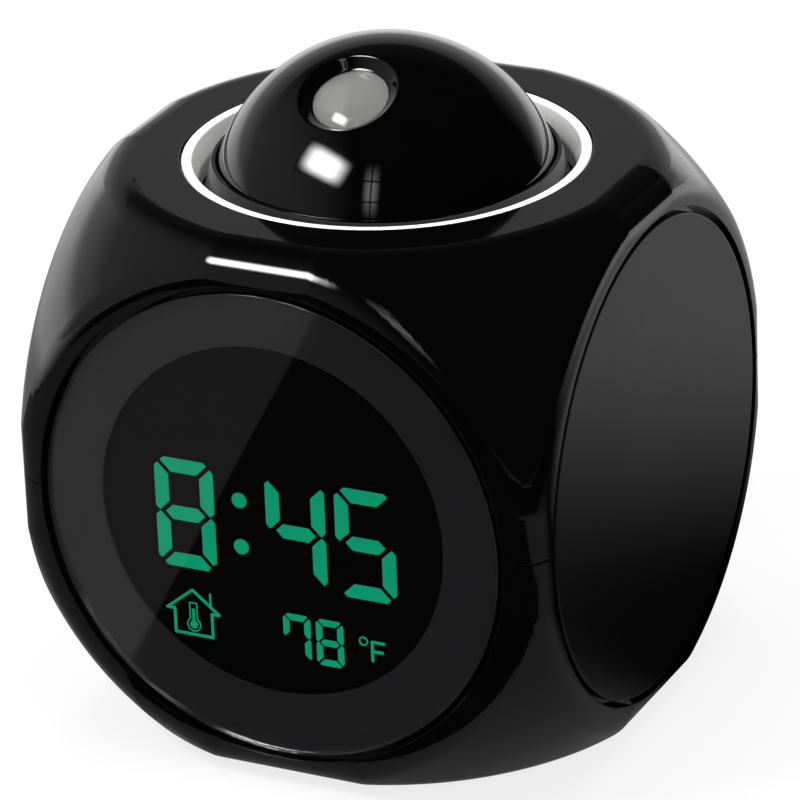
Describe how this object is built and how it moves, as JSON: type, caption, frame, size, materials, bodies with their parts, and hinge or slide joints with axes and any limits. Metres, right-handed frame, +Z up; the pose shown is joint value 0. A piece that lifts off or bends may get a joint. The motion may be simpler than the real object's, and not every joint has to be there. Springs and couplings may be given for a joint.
{
  "type": "projection alarm clock",
  "caption": "Desk alarm clock: glossy black rounded cube with a round display window, a push ring on top and a tilting projector ball inside it.",
  "frame": {"origin": "middle of the base on the table under the feet", "axes": "+Z up, display faces -Y, keys and speaker face +Y"},
  "size_m": [0.085, 0.085, 0.102],
  "materials": {
    "housing": "glossy black moulded shell",
    "side_panel": "satin black disc",
    "lens": "clear smoked acrylic",
    "mask": "dark grey printed ring",
    "display_glass": "black display glass",
    "figures": "lit green figures",
    "diffuser": "milky light guide",
    "ring_white": "white ring",
    "ball_black": "glossy black ball",
    "clear": "clear optical plastic",
    "film": "small display slide",
    "inner_plastic": "inner black moulding",
    "key_black": "satin key",
    "circuit": "green circuit board",
    "silicone": "grey silicone rubber",
    "steel": "zinc plated steel",
    "magnet": "sintered magnet",
    "paper": "speaker diaphragm",
    "chip": "moulded chip",
    "led": "clear moulded light",
    "ribbon": "flat flex",
    "cell": "plain sleeve"
  },
  "bodies": {
    "case": {"backlight_leds": "led", "battery_cells": "cell", "capacitors": "chip", "clock_crystal": "steel", "contact_leaves": "steel", "contact_plates": "steel", "contact_strip": "diffuser", "display_board": "circuit", "display_figures": "figures", "display_frame": "inner_plastic", "display_glass": "display_glass", "display_mask": "mask", "display_ribbon": "ribbon", "display_screws": "steel", "foot_pads": "silicone", "front_lens": "lens", "housing_screws": "steel", "key_board": "circuit", "key_board_screws": "steel", "key_switches": "inner_plastic", "lead_sockets": "inner_plastic", "left_panel": "side_panel", "light_guide": "diffuser", "light_ring": "ring_white", "lower_housing": "housing", "main_board": "circuit", "main_board_screws": "steel", "rear_panel": "side_panel", "return_domes": "silicone", "right_panel": "side_panel", "speaker_basket": "inner_plastic", "speaker_cone": "paper", "speaker_magnet": "magnet", "speech_chip": "chip", "switch_board": "circuit", "switch_board_screws": "steel", "temperature_sensor": "chip", "upper_housing": "housing"},
    "push_top": {"push_ring": "ball_black", "ball_cradle": "inner_plastic", "cradle_screws": "steel"},
    "projector_ball": {"ball_upper": "ball_black", "ball_lower": "ball_black", "pivot_pins": "inner_plastic", "projection_lens": "clear", "lens_tube": "inner_plastic", "projection_film": "film", "condenser_lens": "clear", "led_board": "circuit", "projection_led": "led", "led_board_screws": "steel"},
    "clock_key_body": {"clock_key": "key_black"},
    "alarm_key_body": {"alarm_key": "key_black"},
    "minus_key_body": {"minus_key": "key_black"},
    "plus_key_body": {"plus_key": "key_black"},
    "door": {"battery_door": "housing"}
  },
  "joints": [
    {"name": "talk_push", "type": "slide", "parent": "case", "child": "push_top", "axis": [0, 0, -1], "range_m": [0, 0.0015], "stiffness_N_per_m": 1500, "springref_m": -0.0012, "deforming": ["return_domes"]},
    {"name": "ball_tilt", "type": "hinge", "parent": "push_top", "child": "projector_ball", "pos_m": [0, 0, 0.07565], "axis": [1, 0, 0], "range_deg": [-79, 25]},
    {"name": "door_hinge", "type": "hinge", "parent": "case", "child": "door", "pos_m": [0, 0.0172, 0.0021], "axis": [1, 0, 0], "range_deg": [0, 80]},
    {"name": "clock_key_press", "type": "slide", "parent": "case", "child": "clock_key_body", "axis": [0, -1, 0], "range_m": [0, 0.0008], "stiffness_N_per_m": 1500, "springref_m": -0.0006},
    {"name": "alarm_key_press", "type": "slide", "parent": "case", "child": "alarm_key_body", "axis": [0, -1, 0], "range_m": [0, 0.0008], "stiffness_N_per_m": 1500, "springref_m": -0.0006},
    {"name": "minus_key_press", "type": "slide", "parent": "case", "child": "minus_key_body", "axis": [0, -1, 0], "range_m": [0, 0.0008], "stiffness_N_per_m": 1500, "springref_m": -0.0006},
    {"name": "plus_key_press", "type": "slide", "parent": "case", "child": "plus_key_body", "axis": [0, -1, 0], "range_m": [0, 0.0008], "stiffness_N_per_m": 1500, "springref_m": -0.0006}
  ]
}
